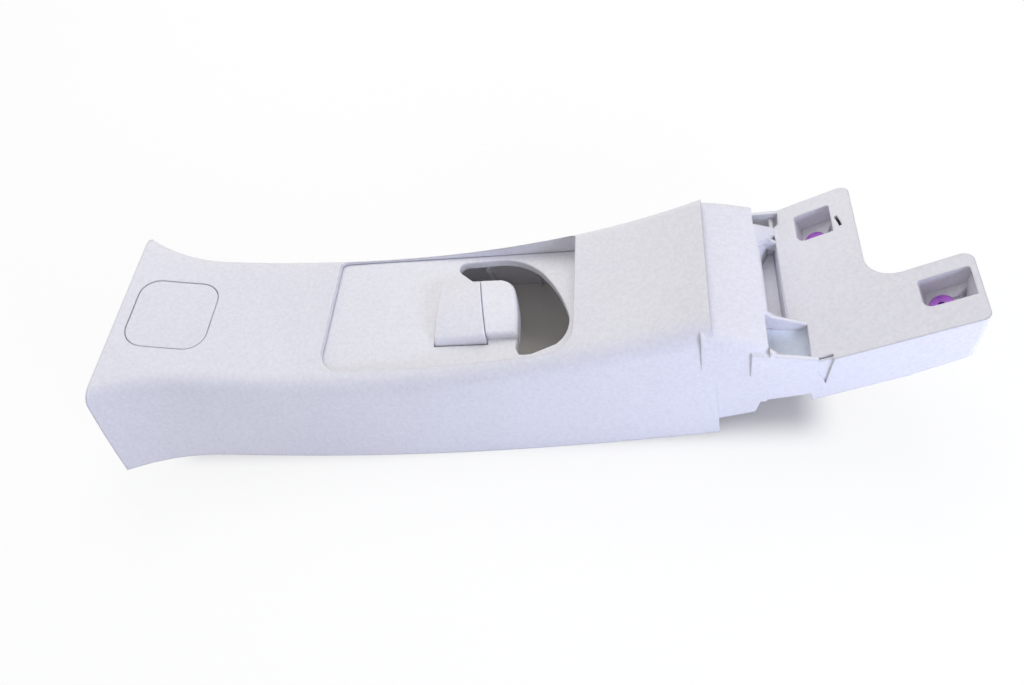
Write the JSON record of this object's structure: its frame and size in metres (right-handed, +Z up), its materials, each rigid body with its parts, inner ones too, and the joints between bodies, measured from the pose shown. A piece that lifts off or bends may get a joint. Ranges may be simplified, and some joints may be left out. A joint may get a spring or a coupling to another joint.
{
  "type": "pillar trim panel",
  "caption": "Hollow upper pillar trim moulding with a curved cabin face, a sliding belt outlet with release button, a square screw cover and a clip block at its sill end.",
  "frame": {"origin": "middle of the part's length and width, at the height of the lowest point of its side walls, on which it rests", "axes": "+X along the length towards the sill end with the clip block, +Y across it, away from the side on which the block's toe stands, +Z up, away from the car's pillar and into the cabin"},
  "size_m": [0.5138, 0.1702, 0.1018],
  "materials": {
    "trim_plastic": "fine even grain, matte",
    "cap_plastic": "fine even grain, matte",
    "cover_plastic": "smooth satin",
    "button_plastic": "smooth satin",
    "spring_steel": "drawn wire",
    "clip_plastic": "smooth, lightly glossy"
  },
  "bodies": {
    "trim": {"pillar_trim": "trim_plastic", "screw_cover": "cap_plastic", "retaining_clip_far": "clip_plastic", "retaining_clip_near": "clip_plastic"},
    "cover": {"slide_cover": "cover_plastic", "button_spring": "spring_steel"},
    "button": {"release_button": "button_plastic"}
  },
  "joints": [
    {"name": "slide_travel", "type": "slide", "parent": "trim", "child": "cover", "axis": [0.9994, 0, -0.0349], "range_m": [-0.065, 0]},
    {"name": "button_press", "type": "slide", "parent": "cover", "child": "button", "axis": [-0.0349, 0, -0.9994], "range_m": [0, 0.0035], "stiffness_N_per_m": 800, "springref_m": -0.002, "deforming": ["button_spring"]}
  ]
}
